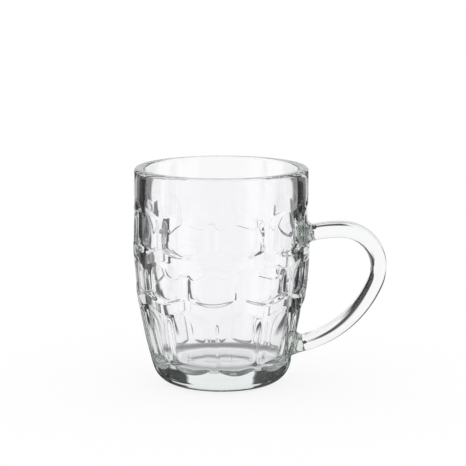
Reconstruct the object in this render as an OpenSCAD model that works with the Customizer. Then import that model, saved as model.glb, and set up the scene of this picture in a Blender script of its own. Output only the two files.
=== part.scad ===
// Dimpled glass beer mug with a handle welded on at two places.
// The mug stands on z = 0, its axis is Z, and the handle lies in the XZ plane on the +X side.

/* [Bowl] */
// Height from the table to the rim
mug_h = 121; // [115:1:135]
// Height of the plain drinking band, from the rim down to the dimples
band_h = 18.5; // [16:0.5:26]
// Outside diameter at the widest part of the belly
belly_d = 98.4; // [94:0.2:106]
// Height of the widest part of the belly
belly_z = 82; // [74:1:90]
// Radius of the belly's upright curve
belly_arc = 245; // [210:5:300]
// Thickness of the glass between two dimples
wall = 6.6; // [5.4:0.1:8]
// Thickness of the glass floor
floor_t = 12.5; // [7:0.5:16]
// Rounding between the floor and the inside wall
floor_round = 9; // [4:0.5:14]
// Rounding between the wall and the foot
heel_round = 13; // [8:0.5:15]
// Rounding of the two edges of the rim
lip_round = 2; // [0.5:0.1:2.5]
// Radius of the shallow hollow under the foot
hollow_r = 21; // [12:0.5:23]
// Depth of the shallow hollow under the foot
hollow_depth = 1.4; // [0.6:0.1:2.5]

/* [Dimples] */
// Number of dimples in each row
dimple_count = 10; // [9:1:12]
// Height of a dimple in the top row
top_row_h = 25.5; // [20:0.5:27]
// Height of a dimple in the middle row
middle_row_h = 23.6; // [20:0.2:25]
// Height of a flute in the bottom row
bottom_row_h = 37; // [26:0.5:38]
// Height of the rib between two rows
row_rib_h = 2.4; // [1.5:0.1:4]
// Width of the rib between two dimples of a row
rib_w = 3.2; // [2.4:0.1:6]
// Depth of a dimple at its middle
dimple_depth = 2.6; // [2.3:0.1:3.4]
// Height of the steep ledge that closes a dimple at its lower end
ledge_h = 2.4; // [1.5:0.1:4]
// Height over which a dimple runs out into the wall at its upper end
fade_h = 7.5; // [4:0.5:9]

/* [Handle] */
// Thickness of the handle, seen from the side
handle_t = 9.2; // [8:0.2:12]
// Width of the handle, seen from the front
handle_w = 13; // [10:0.5:18]
// Rounding along the handle's four edges
handle_round = 2.8; // [1.5:0.1:3.4]
// How far the centre of the handle's top bend stands out from the belly
bend_reach = 17.8; // [15:0.2:24]
// Height of the centre of the handle's top bend
bend_z = 66.5; // [60:0.5:69]
// Radius of the top bend, to the middle of the handle
bend_r = 20.2; // [18:0.2:24]
// Radius of the upper arm's slight arch
upper_arm_r = 69; // [50:1:100]
// Radius of the lower arm's long sweep
lower_arm_r = 61; // [52:1:68]
// Angle below level where the bend passes into the lower sweep
sweep_start = 22; // [14:1:30]

/* [Welds] */
// Thickness of the glass between the bowl and the handle's upper end
upper_weld_t = 4.6; // [3:0.2:7]
// Thickness of the glass between the bowl and the handle's lower end
lower_weld_t = 4.6; // [3:0.2:7]
// Spread of the upper weld above the handle
upper_weld_rise = 5.2; // [1:0.2:6]
// Spread of the lower weld above the handle
lower_weld_rise = 3; // [1:0.2:5]
// Spread of each weld below the handle
weld_drop = 1.2; // [0.4:0.2:3]
// Spread of each weld to either side of the handle
weld_side = 2.4; // [0.5:0.2:4]

/* [Hidden] */
$fn = 96;
overrun = 1;
// Flats round a corner of the handle's section, and along its upper arm, bend and sweep
corner_steps = 5;
arm_steps = 4;
bend_steps = 14;
sweep_steps = 9;
// Layers of a weld that are as narrow as the handle's end, as a count
skin_count = 20;
glass = [0.86, 0.92, 0.9, 0.45];
weld_glass = [0.72, 0.82, 0.78, 0.6];

belly_r = belly_d / 2;
inner_r = belly_r - wall;
inner_arc = belly_arc - wall;
// The belly's curve has its centre beyond the axis, level with the widest part
arc_x = belly_r - belly_arc;
// The drinking band goes straight up from the belly's curve
band_z = mug_h - band_h;
band_r = wall_r(band_z);
hollow_arc = (hollow_r * hollow_r + hollow_depth * hollow_depth) / (2 * hollow_depth);

// Distance from the axis to the outside wall at a height
function wall_r(z) = arc_x + sqrt(pow(belly_arc, 2) - pow(belly_z - z, 2));
// Lean of the outside wall at a height, in degrees
function wall_lean(z) = asin((belly_z - z) / belly_arc);

// Handle: the top bend, the arched upper arm and the swept lower arm share their tangents
bend_x = belly_r + bend_reach;
upper_arm_z = bend_z + bend_r - upper_arm_r;
upper_end_x = belly_r + upper_weld_t;
upper_turn = asin((bend_x - upper_end_x) / upper_arm_r);
upper_end_z = upper_arm_z + upper_arm_r * cos(upper_turn);
sweep_x = bend_x - (lower_arm_r - bend_r) * cos(sweep_start);
sweep_z = bend_z + (lower_arm_r - bend_r) * sin(sweep_start);
lower_end_x = wall_r(sweep_z - lower_arm_r) + lower_weld_t;
sweep_end = acos((lower_end_x - sweep_x) / lower_arm_r);
lower_end_z = sweep_z - lower_arm_r * sin(sweep_end);

// Half of the bowl's section, up to a height: a curve, and a rounded corner that touches it and the base
module rounded_base(curve_r, corner_r, base_z, top_z) {
  corner_z = base_z + corner_r;
  corner_x = arc_x + sqrt(pow(curve_r - corner_r, 2) - pow(belly_z - corner_z, 2));
  join_turn = asin((belly_z - corner_z) / (curve_r - corner_r));
  join_z = corner_z - corner_r * sin(join_turn);
  intersection() {
    translate([arc_x, belly_z])
      circle(curve_r);
    translate([0, join_z])
      square([belly_d, top_z - join_z]);
  }
  intersection() {
    translate([corner_x, corner_z])
      circle(corner_r);
    translate([corner_x, base_z - corner_r])
      square([2 * corner_r, join_z - base_z + corner_r]);
  }
  translate([0, base_z])
    square([corner_x, join_z - base_z]);
}

module outside_section() {
  // The belly's curve runs on inside the band, and the band reaches down inside the belly
  rounded_base(belly_arc, heel_round, 0, mug_h - band_h / 2);
  translate([0, belly_z])
    square([band_r, mug_h - lip_round - belly_z]);
  translate([0, mug_h - lip_round])
    square([band_r - lip_round, lip_round]);
  translate([band_r - lip_round, mug_h - lip_round])
    intersection() {
      circle(lip_round);
      square(lip_round);
    }
}

module inside_section() {
  rounded_base(inner_arc, floor_round, floor_t, belly_z);
  translate([0, belly_z])
    square([inner_r, mug_h + overrun - belly_z]);
  translate([inner_r, mug_h - lip_round])
    difference() {
      translate([-overrun, 0])
        square([overrun + lip_round, lip_round + overrun]);
      translate([lip_round, 0])
        circle(lip_round);
    }
}

// One dimple: a flute that is hollow from side to side, so that it leaves crisp ribs beside it.
// A steep ledge closes it below and a longer slope lets it run out above, which arches its outline.
module dimple(low_z, high_z) {
  mid_z = (low_z + high_z) / 2;
  mid_r = wall_r(mid_z);
  lean = wall_lean(mid_z);
  half_h = (high_z - low_z) / 2 / cos(lean);
  half_w = mid_r * sin(180 / dimple_count) - rib_w / 2;
  wall_drop = mid_r - sqrt(pow(mid_r, 2) - pow(half_w, 2));
  flute_rise = dimple_depth - wall_drop;
  flute_r = (half_w * half_w + flute_rise * flute_rise) / (2 * flute_rise);
  // The slopes run on past the flute's floor by this share of its depth
  past_share = 1.2;
  translate([mid_r, 0, mid_z])
    rotate([0, lean, 0])
    intersection() {
      rotate([90, 0, 0])
        linear_extrude(belly_r, center = true)
        polygon([
          [overrun, -half_h],
          [0, -half_h],
          [-past_share * dimple_depth, past_share * ledge_h - half_h],
          [-past_share * dimple_depth, half_h - past_share * fade_h],
          [0, half_h],
          [overrun, half_h]
        ]);
      translate([flute_r - dimple_depth, 0, 0])
        cylinder(h = high_z - low_z + 2 * overrun, r = flute_r, center = true);
    }
}

// A ring of dimples, turned by a share of the step from one dimple to the next
module dimple_row(low_z, high_z, turn_share) {
  step = 360 / dimple_count;
  for (i = [0 : dimple_count - 1])
    rotate([0, 0, (i + turn_share) * step])
      dimple(low_z, high_z);
}

module bowl_outside() {
  top_low = band_z - top_row_h;
  middle_high = top_low - row_rib_h;
  middle_low = middle_high - middle_row_h;
  bottom_high = middle_low - row_rib_h;
  staggered_share = 0.5;
  difference() {
    rotate_extrude()
      outside_section();
    dimple_row(top_low, band_z, 0);
    dimple_row(middle_low, middle_high, staggered_share);
    dimple_row(bottom_high - bottom_row_h, bottom_high, 0);
  }
}

// Pressed bowl: belly, dimples, drinking band, thick floor and foot ring
module bowl() {
  color(glass)
    difference() {
      bowl_outside();
      rotate_extrude()
        inside_section();
      translate([0, 0, hollow_depth - hollow_arc])
        sphere(hollow_arc);
    }
}

// Points round the handle's section, spread by a margin above, below and beside it.
// The first coordinate runs across the bend and the second across the mug.
function section_points(rise, drop, side) = [
  for (quarter = [0 : 3])
    for (i = [0 : corner_steps])
      let (
        turn = 90 * (quarter + i / corner_steps),
        up = quarter == 0 || quarter == 3,
        left = quarter < 2,
        spread = up ? rise : -drop,
        round_x = (up ? 1 : -1) * (handle_t / 2 - handle_round) + spread,
        round_y = (left ? 1 : -1) * (handle_w / 2 - handle_round + side)
      )
      [round_x + handle_round * cos(turn), round_y + handle_round * sin(turn)]
];

// Stations along an arc of the handle: place, height and the angle of the arc's radius there
function arc_stations(centre_x, centre_z, arc_r, from, to, steps) = [
  for (i = [0 : steps - 1])
    let (turn = from + (to - from) * i / steps)
    [centre_x + arc_r * cos(turn), centre_z + arc_r * sin(turn), turn]
];

// Pressed handle: one bar bent into a D, flat on its two sides
module handle() {
  stations = concat(
    arc_stations(bend_x, upper_arm_z, upper_arm_r, 90 + upper_turn, 90, arm_steps),
    arc_stations(bend_x, bend_z, bend_r, 90, -sweep_start, bend_steps),
    arc_stations(sweep_x, sweep_z, lower_arm_r, -sweep_start, -sweep_end, sweep_steps),
    [[lower_end_x, lower_end_z, -sweep_end]]
  );
  section = section_points(0, 0, 0);
  sides = len(section);
  rings = len(stations);
  points = [
    for (station = stations)
      for (point = section)
        [
          station[0] + point[0] * cos(station[2]),
          point[1],
          station[1] + point[0] * sin(station[2])
        ]
  ];
  walls = [
    for (ring = [0 : rings - 2])
      for (i = [0 : sides - 1])
        let (
          next = (i + 1) % sides,
          low = ring * sides,
          high = low + sides
        )
        each [
          [low + i, low + next, high + next],
          [low + i, high + next, high + i]
        ]
  ];
  first_end = [for (i = [0 : sides - 1]) sides - 1 - i];
  last_end = [for (i = [0 : sides - 1]) (rings - 1) * sides + i];
  color(glass)
    polyhedron(points, concat(walls, [first_end, last_end]));
}

// Glass that flowed out where a hot end of the handle was pressed on the bowl.
// It spreads from the handle's end to the bowl's skin, and fills the dimple behind it.
module weld(end_x, end_z, lean, thickness, rise) {
  end_skin = thickness / skin_count;
  difference() {
    translate([end_x, 0, end_z])
      rotate([0, lean, 0])
      hull() {
        translate([-end_skin, 0, 0])
          rotate([0, 90, 0])
          mirror([1, 0, 0])
          linear_extrude(end_skin)
          polygon(section_points(0, 0, 0));
        translate([-thickness - wall, 0, 0])
          rotate([0, 90, 0])
          mirror([1, 0, 0])
          linear_extrude(wall)
          polygon(section_points(rise, weld_drop, weld_side));
      }
    bowl_outside();
  }
}

module upper_weld() {
  color(weld_glass)
    weld(upper_end_x, upper_end_z, -upper_turn, upper_weld_t, upper_weld_rise);
}

module lower_weld() {
  color(weld_glass)
    weld(lower_end_x, lower_end_z, sweep_end - 90, lower_weld_t, lower_weld_rise);
}

bowl();
handle();
upper_weld();
lower_weld();
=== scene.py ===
from math import acos, asin, atan2, copysign, cos, hypot, pi, radians, sin, sqrt

import bmesh
import bpy
from mathutils import Matrix, Vector


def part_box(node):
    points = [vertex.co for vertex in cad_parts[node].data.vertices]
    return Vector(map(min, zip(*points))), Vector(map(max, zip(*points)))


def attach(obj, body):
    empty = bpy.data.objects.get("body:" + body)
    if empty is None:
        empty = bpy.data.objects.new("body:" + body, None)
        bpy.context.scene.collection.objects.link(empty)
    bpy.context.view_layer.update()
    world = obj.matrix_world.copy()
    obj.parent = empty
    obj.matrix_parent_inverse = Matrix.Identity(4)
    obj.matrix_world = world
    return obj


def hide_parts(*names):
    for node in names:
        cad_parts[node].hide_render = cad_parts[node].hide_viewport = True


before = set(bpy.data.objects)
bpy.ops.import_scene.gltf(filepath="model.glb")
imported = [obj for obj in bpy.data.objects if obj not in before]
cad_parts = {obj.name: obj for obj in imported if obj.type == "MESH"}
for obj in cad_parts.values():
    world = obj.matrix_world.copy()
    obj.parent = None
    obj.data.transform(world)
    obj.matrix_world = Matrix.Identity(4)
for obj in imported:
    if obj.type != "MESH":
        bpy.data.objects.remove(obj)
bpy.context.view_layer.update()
bpy.context.scene.view_settings.view_transform = "Standard"

# Bowl: one thick pressing of clear soda glass, barrel shaped, with a plain drinking band above
# three staggered rows of dimples. The inside is smooth, the rim is melted round, and the mug
# stands on a flat ring round a shallow hollow.
mm = 0.001
mug_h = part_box("bowl")[1].z
belly_r = 49.2 * mm
belly_z = 82 * mm
belly_arc = 245 * mm
wall = 6.6 * mm
inner_r = belly_r - wall
inner_arc = belly_arc - wall
floor_t = 12.5 * mm
floor_round = 9 * mm
heel_round = 13 * mm
lip_round = 2 * mm
hollow_r = 21 * mm
hollow_depth = 1.4 * mm
band_h = 18.5 * mm
arc_x = belly_r - belly_arc
band_z = mug_h - band_h

dimple_count = 10
dimple_depth = 1.4 * mm
flank_power = 6
rib_w = 2.8 * mm
row_rib_h = 2.4 * mm
ledge_h = 2 * mm
ledge_blend = 0.4 * mm
fade_h = 4.2 * mm
fade_blend = 0.6 * mm
brim_blend = 0.12 * mm
sag_r = 60 * mm
top_row_h = 25.5 * mm
middle_row_h = 23.6 * mm
bottom_row_h = 37 * mm
dimple_step = 2 * pi / dimple_count
top_row = (band_z - top_row_h, band_z, 0.0)
middle_row = (top_row[0] - row_rib_h - middle_row_h, top_row[0] - row_rib_h, 0.5)
bottom_row = (middle_row[0] - row_rib_h - bottom_row_h, middle_row[0] - row_rib_h, 0.0)


def wall_r(z):
    """Distance from the axis to the round outside wall at a height."""
    return arc_x + sqrt(belly_arc**2 - (belly_z - z) ** 2)


def wall_lean(z):
    """Angle by which the outside wall leans in towards the foot at a height."""
    return asin((belly_z - z) / belly_arc)


def soft_min(one, other, blend):
    """The lesser of two lengths, with a smooth passage from one to the other."""
    return (one + other - sqrt((one - other) ** 2 + blend**2)) / 2


def dimple_sink(turn, z):
    """How deep the dimples lie under the round wall at an angle and a height."""
    for low_z, high_z, turn_share in (top_row, middle_row, bottom_row):
        if low_z <= z <= high_z:
            off_turn = ((turn / dimple_step - turn_share + 0.5) % 1 - 0.5) * dimple_step
            across = wall_r(z) * sin(off_turn)
            half_w = wall_r(z) * sin(dimple_step / 2) - rib_w / 2
            flute = dimple_depth * (1 - (across / half_w) ** flank_power)
            flat = across**2 / (2 * wall_r(z))
            ledge = (z - low_z - across**2 / (2 * sag_r)) * dimple_depth / ledge_h - flat
            fade = (high_z - z) * dimple_depth / fade_h - flat
            sink = soft_min(soft_min(flute, ledge, ledge_blend), fade, fade_blend)
            return (sink + sqrt(sink**2 + brim_blend**2)) / 2
    return 0.0


def arc_on(bm, tip, centre, angle, steps):
    """Draws an arc in the XZ plane from the tip of an outline and returns the new tip."""
    made = bmesh.ops.spin(
        bm, geom=[tip], cent=(centre[0], 0, centre[1]), axis=(0, 1, 0), angle=angle, steps=steps
    )
    return next(part for part in made["geom_last"] if isinstance(part, bmesh.types.BMVert))


def line_on(bm, tip, x, z, steps=1):
    """Draws a straight run in the XZ plane from the tip of an outline and returns the new tip."""
    step = (Vector((x, 0, z)) - tip.co) / steps
    for _ in range(steps):
        made = bmesh.ops.extrude_vert_indiv(bm, verts=[tip])
        tip = made["verts"][0]
        bmesh.ops.translate(bm, verts=[tip], vec=step)
    return tip


def base_corner(curve_r, corner_r, base_z):
    """Centre of the rounding between an upright curve and its base, and its turn at the curve."""
    corner_z = base_z + corner_r
    corner_x = arc_x + sqrt((curve_r - corner_r) ** 2 - (belly_z - corner_z) ** 2)
    turn = asin((belly_z - corner_z) / (curve_r - corner_r))
    return corner_x, corner_z, turn


def belly_on(bm, tip, to_z, steps):
    """Draws the belly's curve from the tip of an outline up to a height and returns the new tip."""
    return arc_on(bm, tip, (arc_x, belly_z), wall_lean(to_z) - wall_lean(tip.co.z), steps)


def as_piece(bm, name):
    """Makes an object at the origin from a finished bmesh."""
    mesh = bpy.data.meshes.new(name)
    bm.to_mesh(mesh)
    bm.free()
    piece = bpy.data.objects.new(name, mesh)
    bpy.context.scene.collection.objects.link(piece)
    return piece


round_steps = 540
hollow_steps = 8
foot_steps = 3
corner_steps = 12
ledge_steps = 12
fade_steps = 8
upright_steps = 4
lip_steps = 8
inner_steps = 16
floor_steps = 5
ledge_reach = 5.4 * mm
touch = 0.1 * mm
merge_gap = 0.001 * mm
hollow_arc = (hollow_r**2 + hollow_depth**2) / (2 * hollow_depth)
heel_x, heel_z, heel_turn = base_corner(belly_arc, heel_round, 0)
floor_x, floor_z, floor_turn = base_corner(inner_arc, floor_round, floor_t)
band_r = wall_r(band_z)

bm = bmesh.new()
tip = bm.verts.new((0, 0, hollow_depth))
tip = arc_on(bm, tip, (0, hollow_depth - hollow_arc), asin(hollow_r / hollow_arc), hollow_steps)
tip = line_on(bm, tip, heel_x, 0, foot_steps)
tip = arc_on(bm, tip, (heel_x, heel_z), -(pi / 2 - heel_turn), corner_steps)
for (low_z, high_z, _), rib_steps, bed_steps in (
    (bottom_row, 6, 12), (middle_row, 4, 6), (top_row, 4, 7)
):
    tip = belly_on(bm, tip, low_z, rib_steps)
    tip = belly_on(bm, tip, low_z + ledge_reach, ledge_steps)
    tip = belly_on(bm, tip, high_z - fade_h, bed_steps)
    tip = belly_on(bm, tip, high_z, fade_steps)
tip = line_on(bm, tip, band_r, mug_h - lip_round, upright_steps)
tip = arc_on(bm, tip, (band_r - lip_round, mug_h - lip_round), -pi / 2, lip_steps)
tip = line_on(bm, tip, inner_r + lip_round, mug_h)
tip = arc_on(bm, tip, (inner_r + lip_round, mug_h - lip_round), -pi / 2, lip_steps)
tip = line_on(bm, tip, inner_r, belly_z, upright_steps)
tip = arc_on(bm, tip, (arc_x, belly_z), floor_turn, inner_steps)
tip = arc_on(bm, tip, (floor_x, floor_z), pi / 2 - floor_turn, corner_steps)
tip = line_on(bm, tip, 0, floor_t, floor_steps)
bmesh.ops.spin(
    bm,
    geom=bm.verts[:] + bm.edges[:],
    cent=(0, 0, 0),
    axis=(0, 0, 1),
    angle=2 * pi,
    steps=round_steps,
    use_merge=True,
)
bmesh.ops.remove_doubles(bm, verts=bm.verts, dist=merge_gap)
bmesh.ops.recalc_face_normals(bm, faces=bm.faces)
for vert in bm.verts:
    x, y, z = vert.co
    if bottom_row[0] < z < band_z and hypot(x, y) > wall_r(z) - touch:
        turn = atan2(y, x)
        lean = wall_lean(z)
        outward = Vector((cos(turn) * cos(lean), sin(turn) * cos(lean), -sin(lean)))
        vert.co = vert.co - outward * dimple_sink(turn, z)
for face in bm.faces:
    face.smooth = True
bowl = as_piece(bm, "pressed_bowl")

waviness = bpy.data.node_groups.new("press_waviness", "ShaderNodeTree")
waviness.interface.new_socket("Fine", in_out="INPUT", socket_type="NodeSocketFloat")
waviness.interface.new_socket("Height", in_out="OUTPUT", socket_type="NodeSocketFloat")
waviness.interface.new_socket("Cloud", in_out="OUTPUT", socket_type="NodeSocketFloat")
nodes, links = waviness.nodes, waviness.links
wave_in = nodes.new("NodeGroupInput")
wave_out = nodes.new("NodeGroupOutput")
place = nodes.new("ShaderNodeTexCoord")
swell = nodes.new("ShaderNodeTexNoise")
swell.inputs["Detail"].default_value = 1.0
links.new(place.outputs["Object"], swell.inputs["Vector"])
links.new(wave_in.outputs["Fine"], swell.inputs["Scale"])
cloud = nodes.new("ShaderNodeTexNoise")
cloud.inputs["Scale"].default_value = 38.0
cloud.inputs["Detail"].default_value = 2.0
links.new(place.outputs["Object"], cloud.inputs["Vector"])
links.new(swell.outputs["Fac"], wave_out.inputs["Height"])
links.new(cloud.outputs["Fac"], wave_out.inputs["Cloud"])


def pressed_glass(name, pale, deep, wave, wave_depth):
    """Clear glass with a slight waviness, and painted shade that darkens its colour where its faces
    turn edge-on.
    """
    material = bpy.data.materials.new(name)
    material.use_nodes = True
    nodes, links = material.node_tree.nodes, material.node_tree.links
    shader = nodes["Principled BSDF"]
    shader.inputs["Metallic"].default_value = 0.0
    shader.inputs["Roughness"].default_value = 0.0
    shader.inputs["IOR"].default_value = 1.52
    shader.inputs["Transmission Weight"].default_value = 1.0
    waves = nodes.new("ShaderNodeGroup")
    waves.node_tree = waviness
    waves.inputs["Fine"].default_value = wave
    bump = nodes.new("ShaderNodeBump")
    bump.inputs["Strength"].default_value = 1.0
    bump.inputs["Distance"].default_value = wave_depth
    links.new(waves.outputs["Height"], bump.inputs["Height"])
    links.new(bump.outputs["Normal"], shader.inputs["Normal"])
    tint = nodes.new("ShaderNodeMix")
    tint.data_type = "RGBA"
    tint.inputs["A"].default_value = (*pale, 1)
    tint.inputs["B"].default_value = (*deep, 1)
    links.new(waves.outputs["Cloud"], tint.inputs["Factor"])
    # Painted shade: where the glass turns edge-on, its colour is mixed towards dark grey, for dark
    # edges in every view.
    facing = nodes.new("ShaderNodeLayerWeight")
    facing.inputs["Blend"].default_value = 0.5
    edge = nodes.new("ShaderNodeMapRange")
    edge.interpolation_type = "SMOOTHSTEP"
    edge.inputs["From Min"].default_value = 0.68
    edge.inputs["From Max"].default_value = 0.95
    links.new(facing.outputs["Facing"], edge.inputs["Value"])
    painted_edge_shade = nodes.new("ShaderNodeMix")
    painted_edge_shade.data_type = "RGBA"
    painted_edge_shade.inputs["B"].default_value = (0.2, 0.22, 0.24, 1)
    links.new(edge.outputs["Result"], painted_edge_shade.inputs["Factor"])
    links.new(tint.outputs["Result"], painted_edge_shade.inputs["A"])
    links.new(painted_edge_shade.outputs["Result"], shader.inputs["Base Color"])
    body = nodes.new("ShaderNodeVolumeAbsorption")
    body.inputs["Color"].default_value = (0.7, 0.79, 0.755, 1)
    body.inputs["Density"].default_value = 6.0
    links.new(body.outputs["Volume"], nodes["Material Output"].inputs["Volume"])
    return material


clear_glass = pressed_glass("clear_glass", (1.0, 0.997, 1.0), (0.985, 0.978, 0.998), 60.0, 0.02 * mm)
bowl.data.materials.append(clear_glass)
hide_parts("bowl")
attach(bowl, "root")

# Handle: a bar of the same glass with rounded edges, pressed by itself and bent into a D: a short
# arched arm on top, a round bend, and a long sweep that comes back to the bowl.
handle_t = 9.2 * mm
handle_w = 13 * mm
crown = 1.8 * mm
outer_round = 3 * mm
edge_round = 1.6 * mm
ridge_round = 1.4 * mm
round_segments = 8
bend_x = belly_r + 17.8 * mm
bend_z = 66.5 * mm
bend_r = 20.2 * mm
upper_arm_r = 69 * mm
lower_arm_r = 61 * mm
sweep_start = radians(22)
upper_weld_t = 2.2 * mm
lower_weld_t = 4.6 * mm
upper_arm_z = bend_z + bend_r - upper_arm_r
upper_end_x = belly_r + upper_weld_t
upper_turn = asin((bend_x - upper_end_x) / upper_arm_r)
upper_end_z = upper_arm_z + upper_arm_r * cos(upper_turn)
sweep_x = bend_x - (lower_arm_r - bend_r) * cos(sweep_start)
sweep_z = bend_z + (lower_arm_r - bend_r) * sin(sweep_start)
lower_end_x = wall_r(sweep_z - lower_arm_r) + lower_weld_t
sweep_end = acos((lower_end_x - sweep_x) / lower_arm_r)
lower_end_z = sweep_z - lower_arm_r * sin(sweep_end)


def handle_section(bm, end_x, end_z, turn):
    """The handle's rounded section at one of its ends, as a ring of edges."""
    made = bmesh.ops.create_grid(bm, x_segments=1, y_segments=1, size=0.5)
    bmesh.ops.scale(bm, verts=made["verts"], vec=(handle_t, handle_w, 1))
    inner = [vert for vert in made["verts"] if vert.co.x < 0]
    inner_edges = [edge for edge in bm.edges if set(edge.verts) == set(inner)]
    bmesh.ops.translate(bm, verts=inner, vec=(crown, 0, 0))
    bmesh.ops.subdivide_edges(bm, edges=inner_edges, cuts=1)
    ridge = [vert for vert in bm.verts if abs(vert.co.y) < touch]
    bmesh.ops.translate(bm, verts=ridge, vec=(-crown, 0, 0))
    half_t = handle_t / 2
    for x, offset in ((half_t, outer_round), (crown - half_t, edge_round), (-half_t, ridge_round)):
        corners = [vert for vert in bm.verts if abs(vert.co.x - x) < touch]
        bmesh.ops.bevel(
            bm,
            geom=corners,
            offset=offset,
            segments=round_segments,
            profile=0.5,
            affect="VERTICES",
            material=-1,
        )
    bmesh.ops.delete(bm, geom=bm.faces[:], context="FACES_ONLY")
    across = Vector((cos(turn), 0, sin(turn)))
    for vert in bm.verts:
        vert.co = Vector((end_x, vert.co.y, end_z)) + across * vert.co.x
    return bm.edges[:]


def sweep_on(bm, edges, centre, angle, steps):
    """Sweeps a ring of edges round a level axis across the mug and returns the last ring."""
    verts = list(dict.fromkeys(vert for edge in edges for vert in edge.verts))
    made = bmesh.ops.spin(
        bm,
        geom=verts + edges,
        cent=(centre[0], 0, centre[1]),
        axis=(0, 1, 0),
        angle=angle,
        steps=steps,
    )
    return [part for part in made["geom_last"] if isinstance(part, bmesh.types.BMEdge)]


def close_ends(bm, first_ring, last_ring):
    """Closes the two ends of a swept bar and smooths the faces along it."""
    bmesh.ops.contextual_create(bm, geom=first_ring)
    bmesh.ops.contextual_create(bm, geom=last_ring)
    bmesh.ops.recalc_face_normals(bm, faces=bm.faces)
    for face in bm.faces:
        face.smooth = len(face.verts) == 4


arm_steps = 8
bend_steps = 48
sweep_steps = 36
bm = bmesh.new()
first_ring = handle_section(bm, upper_end_x, upper_end_z, pi / 2 + upper_turn)
ring = sweep_on(bm, first_ring, (bend_x, upper_arm_z), upper_turn, arm_steps)
ring = sweep_on(bm, ring, (bend_x, bend_z), pi / 2 + sweep_start, bend_steps)
ring = sweep_on(bm, ring, (sweep_x, sweep_z), sweep_end - sweep_start, sweep_steps)
close_ends(bm, first_ring, ring)
handle = as_piece(bm, "bent_handle")
handle.data.materials.append(clear_glass)
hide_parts("handle")
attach(handle, "root")

# Welds: glass that flowed out where the two hot ends of the handle were pressed on the bowl.
# Each spreads from the handle's end in a hollow curve, and lies close on the dimple behind it.
weld_sink = 0.4 * mm
weld_drop = 1.2 * mm
weld_side = 2.4 * mm
upper_rise = 5.2 * mm
lower_rise = 3 * mm
weld_shares = (0.2, 0.4, 0.56, 0.7, 0.81, 0.9, 0.96, 1.0)
cap_shrinks = (0.85, 0.8, 0.74, 0.64, 0.5)


def skin_x(y, z):
    """How far the bowl's dimpled skin stands out along X at a place beside the handle."""
    x = wall_r(z)
    for _ in range(3):
        reach = wall_r(z) - dimple_sink(atan2(y, x), z) / cos(wall_lean(z))
        x = sqrt(reach**2 - y**2)
    return x


def to_skin(place, along):
    """Distance from a place to just under the bowl's skin, along the handle."""
    gap = 0.0
    for _ in range(4):
        here = place + along * gap
        gap = gap + here.x - skin_x(here.y, here.z) + weld_sink
    return gap


def extrude_ring(bm, ring):
    """Extrudes a ring of edges on the spot and returns the new ring and its corners."""
    made = bmesh.ops.extrude_edge_only(bm, edges=ring)["geom"]
    corners = [part for part in made if isinstance(part, bmesh.types.BMVert)]
    edges = [part for part in made if isinstance(part, bmesh.types.BMEdge)]
    return [edge for edge in edges if set(edge.verts) <= set(corners)], corners


def weld(name, end_x, end_z, turn, rise):
    """A weld between the bowl's skin and one end of the handle."""
    bm = bmesh.new()
    end_ring = ring = handle_section(bm, end_x, end_z, turn)
    end = Vector((end_x, 0, end_z))
    up = Vector((cos(turn), 0, sin(turn))) * copysign(1, sin(turn))
    along = Vector((-up.z, 0, up.x))
    bmesh.ops.translate(bm, verts=bm.verts, vec=-along * weld_sink)
    share_made = flare_made = 0.0
    for share in weld_shares:
        flare = 1 - sqrt(1 - share**2)
        ring, corners = extrude_ring(bm, ring)
        for vert in corners:
            off = vert.co - end
            spread = up * (rise if off.dot(up) > 0 else -weld_drop)
            spread.y = copysign(weld_side, off.y)
            gap = to_skin(vert.co + spread * (1 - flare_made), along)
            forward = along * gap * (share - share_made) / (1 - share_made)
            vert.co += spread * (flare - flare_made) + forward
        share_made, flare_made = share, flare
    middle = sum((vert.co for vert in corners), Vector()) / len(corners)
    for shrink in cap_shrinks:
        ring, corners = extrude_ring(bm, ring)
        bmesh.ops.scale(bm, verts=corners, vec=(shrink,) * 3, space=Matrix.Translation(-middle))
        for vert in corners:
            vert.co.x = skin_x(vert.co.y, vert.co.z) - weld_sink
    close_ends(bm, ring, end_ring)
    return as_piece(bm, name)


weld_glass = pressed_glass("weld_glass", (0.97, 0.98, 0.95), (0.68, 0.72, 0.66), 330.0, 0.3 * mm)
upper_weld = weld("upper_flow", upper_end_x, upper_end_z, pi / 2 + upper_turn, upper_rise)
lower_weld = weld("lower_flow", lower_end_x, lower_end_z, -sweep_end, lower_rise)
for piece, node in ((upper_weld, "upper_weld"), (lower_weld, "lower_weld")):
    piece.data.materials.append(weld_glass)
    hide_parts(node)
    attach(piece, "root")

# Floor: a plain white table that runs back without an edge. It glows white to the camera, and a
# share of plain matt white keeps the mug's faint shadow. Glass sees painted light and shade on it:
# sectors by bearing for the white panels and dark cards round the set, and a painted shadow under
# and near the mug, which is black in reflections.
table_half = 30
table_drop = 0.1 * mm
bm = bmesh.new()
bmesh.ops.create_grid(bm, x_segments=1, y_segments=1, size=table_half)
bmesh.ops.translate(bm, verts=bm.verts, vec=(0, 0, -table_drop))
table = as_piece(bm, "table")


def maths(tree, operation, *values):
    """Adds a maths node, fed by sockets or plain numbers, and returns its output."""
    node = tree.nodes.new("ShaderNodeMath")
    node.operation = operation
    for socket, value in zip(node.inputs, values):
        if isinstance(value, bpy.types.NodeSocket):
            tree.links.new(value, socket)
        else:
            socket.default_value = value
    return node.outputs["Value"]


def length_of(tree, place):
    """Adds a node for the length of a vector and returns its output."""
    node = tree.nodes.new("ShaderNodeVectorMath")
    node.operation = "LENGTH"
    tree.links.new(place, node.inputs[0])
    return node.outputs["Value"]


def passage(tree, value, start, end, from_level, to_level):
    """Adds a straight passage from one level to another and returns its output."""
    node = tree.nodes.new("ShaderNodeMapRange")
    node.inputs["From Min"].default_value = start
    node.inputs["From Max"].default_value = end
    node.inputs["To Min"].default_value = from_level
    node.inputs["To Max"].default_value = to_level
    tree.links.new(value, node.inputs["Value"])
    return node.outputs["Result"]


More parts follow.
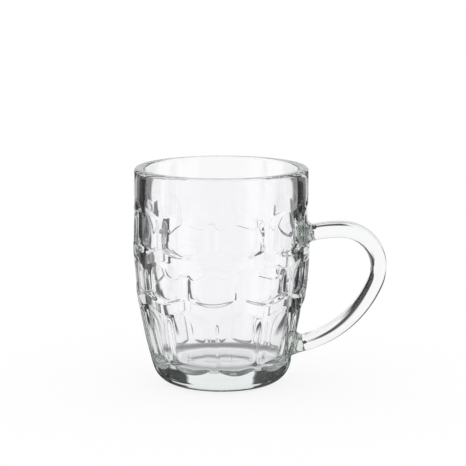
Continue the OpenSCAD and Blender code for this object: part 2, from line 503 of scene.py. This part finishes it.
def grey_ramp(tree, value, stops):
    """Adds a ramp with a grey level at each of its stops and returns its output."""
    node = tree.nodes.new("ShaderNodeValToRGB")
    elements = node.color_ramp.elements
    while len(elements) < len(stops):
        elements.new(0.5)
    for element, (position, _) in zip(elements, stops):
        element.position = position
    for element, (_, level) in zip(elements, stops):
        element.color = (level, level, level, 1)
    tree.links.new(value, node.inputs["Fac"])
    return node.outputs["Color"]


def shown_to_glass(tree, rays, light):
    """White to the camera, and a light of its own to what glass mirrors or lets through."""
    glassy = maths(tree, "MAXIMUM", rays.outputs["Is Glossy Ray"], rays.outputs["Is Transmission Ray"])
    level = tree.nodes.new("ShaderNodeMix")
    level.inputs["A"].default_value = 1.0
    tree.links.new(glassy, level.inputs["Factor"])
    tree.links.new(light, level.inputs["B"])
    return level.outputs["Result"]


turn_deg = 360
dark = 0.015
front_grey = 0.6
card_stops = [
    (0, front_grey), (25, front_grey), (27, 1), (63, 1), (65, dark), (76, dark), (78, 1), (106, 1),
    (108, dark), (148, 0.06), (150, 1), (205.5, 1), (207, 0.07), (230, 0.04), (253, dark), (255, 1),
    (288, 1), (290, dark), (299, dark), (301, 1), (323, 1), (325, front_grey),
]
right_shift = 15
shift_stops = [(280 * mm, 0.73), (310 * mm, 0), (410 * mm, 0), (460 * mm, 1)]
gap_stops = [(214, 0), (216, 1), (235, 1), (237, 0)]
gap_start = 345 * mm
gap_end = 365 * mm

surround = bpy.data.node_groups.new("studio_surround", "ShaderNodeTree")
surround.interface.new_socket("Place", in_out="INPUT", socket_type="NodeSocketVector")
surround.interface.new_socket("Light", in_out="OUTPUT", socket_type="NodeSocketFloat")
surround_in = surround.nodes.new("NodeGroupInput")
surround_out = surround.nodes.new("NodeGroupOutput")
sides = surround.nodes.new("ShaderNodeSeparateXYZ")
surround.links.new(surround_in.outputs["Place"], sides.inputs["Vector"])
to_front = maths(surround, "MULTIPLY", sides.outputs["Y"], -1.0)
bearing = maths(surround, "ARCTAN2", sides.outputs["X"], to_front)
turns = maths(surround, "MULTIPLY_ADD", bearing, 1 / (2 * pi), 1.0)
one_turn = maths(surround, "FRACT", turns)
far = length_of(surround, surround_in.outputs["Place"])
shift_share = grey_ramp(surround, far, shift_stops)
shift = passage(surround, one_turn, 0.5, 0.52, -right_shift / turn_deg, 0.0)
shifted = maths(surround, "MULTIPLY_ADD", shift_share, shift, one_turn)
cards = grey_ramp(surround, shifted, [(angle / turn_deg, level) for angle, level in card_stops])
gap = grey_ramp(surround, one_turn, [(angle / turn_deg, level) for angle, level in gap_stops])
gap_share = passage(surround, far, gap_start, gap_end, 1.0, 0.0)
gap_light = maths(surround, "MULTIPLY", gap, gap_share)
all_light = maths(surround, "MAXIMUM", cards, gap_light)
surround.links.new(all_light, surround_out.inputs["Light"])

near_start = 105 * mm
near_end = 130 * mm
# Painted shadow on the table under the mug, seen only through glass: a dark ring round the foot, and
# the front half under the foot darker.
ring_shadow_stops = [(41 * mm, 1), (44 * mm, 0.3), (54 * mm, 0.3), (62 * mm, 1)]
shade_y = -36 * mm
shade_level = 0.45
shade_r = 40 * mm
white_table = bpy.data.materials.new("white_table")
white_table.use_nodes = True
tree = white_table.node_tree
tree.nodes.remove(tree.nodes["Principled BSDF"])
rays = tree.nodes.new("ShaderNodeLightPath")
spot = tree.nodes.new("ShaderNodeNewGeometry")
# Painted light and shade on the table for glass: bright and dark sectors by bearing, for the panels
# and cards round the set.
table_cards = tree.nodes.new("ShaderNodeGroup")
table_cards.node_tree = surround
tree.links.new(spot.outputs["Position"], table_cards.inputs["Place"])
reach = length_of(tree, spot.outputs["Position"])
near = passage(tree, reach, near_start, near_end, 1.0, 0.0)
painted_ring_shadow = grey_ramp(tree, reach, ring_shadow_stops)
table_sides = tree.nodes.new("ShaderNodeSeparateXYZ")
tree.links.new(spot.outputs["Position"], table_sides.inputs["Vector"])
front_shade = passage(tree, table_sides.outputs["Y"], shade_y, 0.0, shade_level, 1.0)
past_foot = maths(tree, "GREATER_THAN", reach, shade_r)
painted_foot_shadow = maths(tree, "MAXIMUM", front_shade, past_foot)
under = maths(tree, "MULTIPLY", painted_ring_shadow, painted_foot_shadow)
# Painted shade: to reflections the table near the mug is black; to light through glass it carries the
# painted shadow under the mug.
painted_near_shade = maths(tree, "MULTIPLY", under, rays.outputs["Is Transmission Ray"])
seen = tree.nodes.new("ShaderNodeMix")
tree.links.new(near, seen.inputs["Factor"])
tree.links.new(table_cards.outputs["Light"], seen.inputs["A"])
tree.links.new(painted_near_shade, seen.inputs["B"])
table_light = shown_to_glass(tree, rays, seen.outputs["Result"])
glow = tree.nodes.new("ShaderNodeEmission")
glow.inputs["Color"].default_value = (1, 1, 1, 1)
glow.inputs["Strength"].default_value = 1.015
matt = tree.nodes.new("ShaderNodeBsdfDiffuse")
matt.inputs["Color"].default_value = (0.95, 0.95, 0.95, 1)
blend = tree.nodes.new("ShaderNodeMixShader")
blend.inputs["Fac"].default_value = 0.82
tree.links.new(matt.outputs["BSDF"], blend.inputs[1])
tree.links.new(glow.outputs["Emission"], blend.inputs[2])
unlit = tree.nodes.new("ShaderNodeEmission")
unlit.inputs["Strength"].default_value = 0.0
lit = tree.nodes.new("ShaderNodeMixShader")
tree.links.new(table_light, lit.inputs["Fac"])
tree.links.new(unlit.outputs["Emission"], lit.inputs[1])
tree.links.new(blend.outputs["Shader"], lit.inputs[2])
tree.links.new(lit.outputs["Shader"], tree.nodes["Material Output"].inputs["Surface"])
table.data.materials.append(white_table)

# Surroundings: white panels and dark cards that stand round the set, out of the picture, under a
# dark ceiling. Glass shows the panels as its clear faces and the cards as its dark edges.
ceiling_stops = [(0.0, 1), (0.75, 1), (0.9, 0)]
world = bpy.data.worlds.new("studio")
bpy.context.scene.world = world
world.use_nodes = True
tree = world.node_tree
air = tree.nodes["Background"]
air.inputs["Color"].default_value = (1, 1, 1, 1)
rays = tree.nodes.new("ShaderNodeLightPath")
toward = tree.nodes.new("ShaderNodeTexCoord")
room_cards = tree.nodes.new("ShaderNodeGroup")
room_cards.node_tree = surround
tree.links.new(toward.outputs["Generated"], room_cards.inputs["Place"])
height = tree.nodes.new("ShaderNodeSeparateXYZ")
tree.links.new(toward.outputs["Generated"], height.inputs["Vector"])
ceiling = grey_ramp(tree, height.outputs["Z"], ceiling_stops)
room_light = maths(tree, "MULTIPLY", room_cards.outputs["Light"], ceiling)
tree.links.new(shown_to_glass(tree, rays, room_light), air.inputs["Strength"])

# Camera: a long lens a little above the rim, a few degrees round towards the handle.
# It looks down at the middle of the mug, which stands on the table with room round it.
frame_px = 466
lens_px = 2029
sensor_w = 36
view_turn = radians(6)
camera_far = 1111 * mm
camera_z = 277.1 * mm
aim_side = 6.4 * mm
aim_z = 83.82 * mm
camera_data = bpy.data.cameras.new("camera")
camera_data.sensor_width = sensor_w
camera_data.lens = sensor_w * lens_px / frame_px
camera_data.clip_start = 0.05
camera_data.clip_end = 100
camera = bpy.data.objects.new("camera", camera_data)
bpy.context.scene.collection.objects.link(camera)
right = Vector((cos(view_turn), sin(view_turn), 0))
camera.location = Vector((sin(view_turn) * camera_far, -cos(view_turn) * camera_far, camera_z))
aim = right * aim_side + Vector((0, 0, aim_z))
camera.rotation_mode = "QUATERNION"
camera.rotation_quaternion = (aim - camera.location).to_track_quat("-Z", "Y")
bpy.context.scene.camera = camera
bpy.context.scene.cycles.max_bounces = 32
bpy.context.scene.cycles.transmission_bounces = 32
bpy.context.scene.cycles.glossy_bounces = 16
